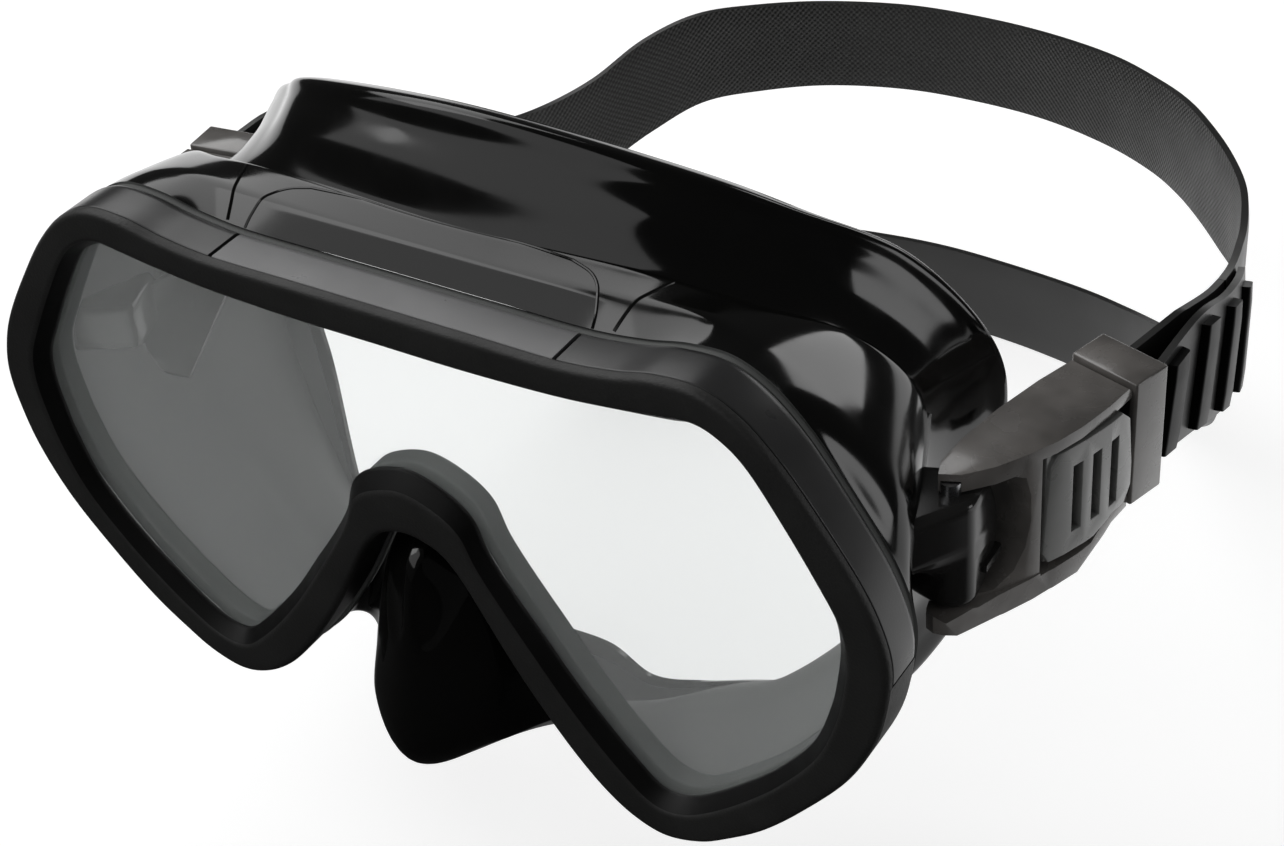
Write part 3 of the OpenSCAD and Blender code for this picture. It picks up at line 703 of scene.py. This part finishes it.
def ribbon(name, path, thick, inner_mat, outer_mat, flip=1):
    """Strip standing on edge along x, y, top z, bottom z; flip is -1 on a path towards the buckle."""
    p, n, run = along(path)
    n = n * flip
    # section: which face, and share of the height, with 8 steps up each face
    prof = [(-1, 0)] + [(1, k / 8) for k in range(8)] + [(1, 1)] + [(-1, 1 - k / 8) for k in range(8)]
    verts, uvs = [], []
    for (x, y, top, low), (nx, ny), dist in zip(p, n, run):
        tall = top - low
        for s, h in prof:
            edge = min(min(h, 1 - h) * tall / SOFT_EDGE, 1)
            w = s * thick / 2 * (EDGE_SHARE + (1 - EDGE_SHARE) * math.sin(edge * math.pi / 2))
            verts.append((x + nx * w, y + ny * w, low + h * tall))
            uvs.append((dist, h * tall))
    nu, nv = len(p), len(prof)
    slots = [int(j >= 10) for i in range(nu - 1) for j in range(nv)] + [0, 0]
    faces = quads(nu, nv, False, True) + caps(nu, nv)
    return make(name, row(verts), faces, [outer_mat, inner_mat], slots, uvs, 50)


def buckle_run(side, run):
    """Strap from the split, in through the guide, round the roller and out again."""
    path = resample(run, 5).tolist()[::-1]
    a = in_buckle(side, ROLLER_X - WRAP_MID, GUIDE_END)
    b = in_buckle(side, ROLLER_X - WRAP_MID, ROLLER_Y + 4)
    path += resample([path[-1], a, b], 5).tolist()[1:]
    for deg in range(180, 361, 12):
        t = math.radians(deg)
        path.append(in_buckle(side, ROLLER_X + WRAP_MID * math.cos(t), ROLLER_Y + WRAP_MID * math.sin(t)))
    path.append(in_buckle(side, ROLLER_X + WRAP_MID, ROLLER_Y + 4))
    path.append(in_buckle(side, ROLLER_X + WRAP_MID, GUIDE_END))
    return path


def tail(side, run):
    """The strap's free end outside the run, lying closer to it towards the split."""
    gap, lift = STRAP_T + GAP, 0.3
    p = np.array(run, float)
    out = [in_buckle(side, ROLLER_X + WRAP_MID, GUIDE_END)]
    for i in range(len(p)):
        d = p[min(i + 1, len(p) - 1), :2] - p[max(i - 1, 0), :2]
        d /= np.linalg.norm(d)
        w = gap + 1.2 - i * 0.4
        out.append((p[i, 0] + d[1] * w, p[i, 1] - d[0] * w, p[i, 2] + lift, p[i, 3] + lift))
    out.append((p[-1, 0] + d[1] * gap - 2.2, p[-1, 1] + 10, p[-1, 2] - 4, p[-1, 3] - 4))
    return out


RIB_FROM, RIB_PITCH, RIB_WIDE, RIB_TALL = 4.5, 12, 5.6, 1.6
RIB_LEAN, RIB_SUNK, RIB_MARGIN, RIB_EASE = 3.0, 0.15, 0.07, 0.3


def ribs(name, path, side, mat):
    """Raised slanted bars across the outer face of the tail."""
    p, n, run = along(path)
    half, rows = RIB_WIDE / 2, 7
    section = rounded([(-half, 0), (RIB_EASE - half, RIB_TALL), (half - RIB_EASE, RIB_TALL), (half, 0)],
                      [0, 0.5, 0.5, 0], 3)
    m = len(section)
    verts, faces = [], []
    for s in np.arange(RIB_FROM, run[-1] - RIB_WIDE * 0.6, RIB_PITCH):
        faces += quads(rows, m, False, True, len(verts)) + caps(rows, m, len(verts))
        for k in range(rows):
            h = RIB_MARGIN + (1 - 2 * RIB_MARGIN) * k / (rows - 1)
            shrink = 1.0 if 0 < k < rows - 1 else 0.9
            for a, b in section:
                place = s + a * shrink + (h - 0.5) * RIB_LEAN
                x, y, top, low, nx, ny = (np.interp(place, run, c) for c in (*p.T, *n.T))
                off = STRAP_T / 2 - RIB_SUNK + b * shrink
                verts.append((side * (x + nx * off), y + ny * off, low + h * (top - low)))
    return make(name, row(verts), faces, mat, sharp=35)


def flipped(o, side):
    """A ribbon drawn on the right, turned to its own side."""
    if side < 0:
        for v in o.data.vertices:
            v.co.x = -v.co.x
        o.data.flip_normals()
    return o


def soften(o):
    """Bakes the strap piece's placement into its mesh."""
    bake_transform(o)


for side, word, run in ((1, "right", RUN_R), (-1, "left", RUN_L)):
    loop = flipped(ribbon("run_" + word, buckle_run(side, run), STRAP_T, strap_mat, strap_mat, -1), side)
    tail_path = resample(tail(side, run), 6)
    free = flipped(ribbon("tail_" + word, tail_path, STRAP_T, strap_mat, strap_mat), side)
    bars = ribs("ribs_" + word, tail_path, side, rib_mat)
    main = join("strap_run_" + word, [loop, free, bars])
    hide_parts("strap")
    soften(main)

for level, right, left in (("upper", UPPER_R, UPPER_L), ("lower", LOWER_R, LOWER_L)):
    whole = np.array(list(right[:-1]) + [(-x, y, a, b) for x, y, a, b in reversed(left)])
    # each end reaches a little into the run that it continues
    first = whole[0] + (whole[0] - whole[1]) * 0.15
    last = whole[-1] + (whole[-1] - whole[-2]) * 0.15
    pts = resample(np.vstack([first, whole, last]), 8)
    cut = int(np.argmin(np.abs(pts[:, 0])))
    for side, word, part in ((1, "right", pts[: cut + 1]), (-1, "left", pts[cut:])):
        o = ribbon("strap_%s_%s" % (level, word), part, STRAP_T + 0.1,
                   dotted_mat if level == "upper" else strap_mat, strap_mat)
        soften(o)

# ---------------------------------------------------------------- buckles, from their CAD nodes


def refined(node, body, mat, bevel, angle=30):
    """A copy of a CAD node's mesh with its hard edges rounded."""
    bm = bmesh.new()
    bm.from_mesh(nodes[node].data)
    bmesh.ops.remove_doubles(bm, verts=bm.verts, dist=2e-6)
    bmesh.ops.dissolve_limit(bm, angle_limit=math.radians(1.0), verts=bm.verts, edges=bm.edges)
    edges = [e for e in bm.edges if len(e.link_faces) == 2 and e.calc_face_angle(0) > math.radians(angle)]
    bmesh.ops.bevel(bm, geom=edges, offset=bevel * MM, segments=3, profile=0.5,
                    affect="EDGES", clamp_overlap=True)
    bmesh.ops.remove_doubles(bm, verts=bm.verts, dist=1e-6)
    bmesh.ops.recalc_face_normals(bm, faces=bm.faces)
    me = bpy.data.meshes.new(node + "_shown")
    bm.to_mesh(me)
    bm.free()
    me.materials.append(mat)
    me.shade_smooth()
    me.set_sharp_from_angle(angle=math.radians(40))
    o = bpy.data.objects.new(node + "_shown", me)
    bpy.context.scene.collection.objects.link(o)
    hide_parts(node)
    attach(o, body)
    return o


for word in ("left", "right"):
    refined("buckle_body_" + word, "buckle_" + word, buckle_sheen_mat, 0.5)
    refined("strap_guide_" + word, "buckle_" + word, buckle_sheen_mat, 0.5)
    refined("release_lever_" + word, "lever_" + word, lever_mat, 0.3)

kept = {"rear_frame": black_mat, "lens": lens_mat}
for word in ("left", "right"):
    kept["strap_roller_" + word] = roller_mat
    for pin in ("lug_pin_", "lever_pin_", "roller_pin_"):
        kept[pin + word] = steel_mat
for name, mat in kept.items():
    nodes[name].data.materials.clear()
    nodes[name].data.materials.append(mat)

# ---------------------------------------------------------------- stage, light, camera

FLOOR_Z = -0.0845
me = bpy.data.meshes.new("floor")
me.from_pydata([(-4, -4, FLOOR_Z), (4, -4, FLOOR_Z), (4, 4, FLOOR_Z), (-4, 4, FLOOR_Z)], [], [(0, 1, 2, 3)])
floor = bpy.data.objects.new("floor", me)
bpy.context.scene.collection.objects.link(floor)
fm = Nodes("floor_white")
fm.tree.nodes.remove(fm.bsdf)
diff = fm.add("BsdfDiffuse", Color=(0.45, 0.45, 0.45, 1)).outputs[0]
glow = fm.add("Emission", Color=(1, 1, 1, 1), Strength=0.75).outputs[0]
dark = fm.add("BsdfDiffuse", Color=(0.03, 0.03, 0.03, 1)).outputs[0]
path = fm.add("LightPath")
bright = fm.add("AddShader")
fm.link(diff, bright.inputs[0])
fm.link(glow, bright.inputs[1])
# in reflections the floor is dark in front of the mask and white behind it
where = fm.add("SeparateXYZ")
fm.link(fm.coords, where.inputs["Vector"])
mirror = fm.mix(fm.span(where.outputs["Y"], 0.0, 1.0, -0.03, 0.06), dark, bright.outputs[0])
other = fm.mix(path.outputs["Is Glossy Ray"], diff, mirror)
shown = fm.mix(fm.seen(path), other, bright.outputs[0])
fm.link(shown, fm.tree.nodes["Material Output"].inputs["Surface"])
me.materials.append(fm.mat)

world = bpy.data.worlds.new("studio")
bpy.context.scene.world = world
wt = Shader(world)
lp = wt.add("LightPath")
# grey for the light on the mask, dimmer still in its reflections, and white to the camera
grey = wt.tree.nodes["Background"]
grey.inputs["Color"].default_value = (0.5, 0.5, 0.5, 1)
wt.link(wt.span(lp.outputs["Is Glossy Ray"], 0.3, 0.08), grey.inputs["Strength"])
white = wt.add("Background", Color=(1, 1, 1, 1), Strength=1.0)
shown = wt.mix(wt.seen(lp), grey.outputs[0], white.outputs[0])
wt.link(shown, wt.tree.nodes["World Output"].inputs["Surface"])


AIM = Vector((0, 0.03, -0.01))
LAMP_DISTANCE = 1.6


def softbox(name, azimuth, elevation, width, height, level):
    """Area lamp of a given brightness, aimed at the mask; azimuth 0 is behind it and 90 on its +X side."""
    light = bpy.data.lights.new(name, "AREA")
    light.shape = "RECTANGLE"
    light.size, light.size_y = width, height
    light.energy = level * math.pi * width * height  # so that level is its brightness
    o = bpy.data.objects.new(name, light)
    a, e = math.radians(azimuth), math.radians(elevation)
    d = Vector((math.sin(a) * math.cos(e), math.cos(a) * math.cos(e), math.sin(e)))
    o.location = AIM + d * LAMP_DISTANCE
    o.rotation_mode = "QUATERNION"
    o.rotation_quaternion = d.to_track_quat("Z", "Y")
    o.visible_camera = False
    bpy.context.scene.collection.objects.link(o)


softbox("key_left", -84, 50, 2.3, 0.95, 2.2)
softbox("front_left", -146, 38, 1.9, 1.1, 0.9)
softbox("back_right", 17, 20, 0.75, 0.46, 2.6)
softbox("right", 76, 15, 0.4, 0.55, 2.4)

SENSOR = 36.0
FOCAL_SHARE = 1.869159  # focal length in sensor widths
# the camera's place in metres, and its right and up directions
CAMERA_AT = (0.18877, -0.25859, 0.21698)
CAMERA_RIGHT = (0.8504, 0.5208, -0.0747)
CAMERA_UP = (-0.26180477, 0.54199533, 0.79856078)

camera = bpy.data.cameras.new("camera")
camera.sensor_width = SENSOR
camera.lens = FOCAL_SHARE * SENSOR
camera.clip_start = 0.01
camera.clip_end = 50
cam = bpy.data.objects.new("camera", camera)
right = Vector(CAMERA_RIGHT).normalized()
up = Vector(CAMERA_UP)
up = (up - right * up.dot(right)).normalized()
back = right.cross(up)
m = Matrix((right, up, back)).transposed().to_4x4()
m.translation = CAMERA_AT
cam.matrix_world = m
bpy.context.scene.collection.objects.link(cam)
bpy.context.scene.camera = cam
bpy.context.scene.view_settings.view_transform = "Standard"

bpy.context.view_layer.update()
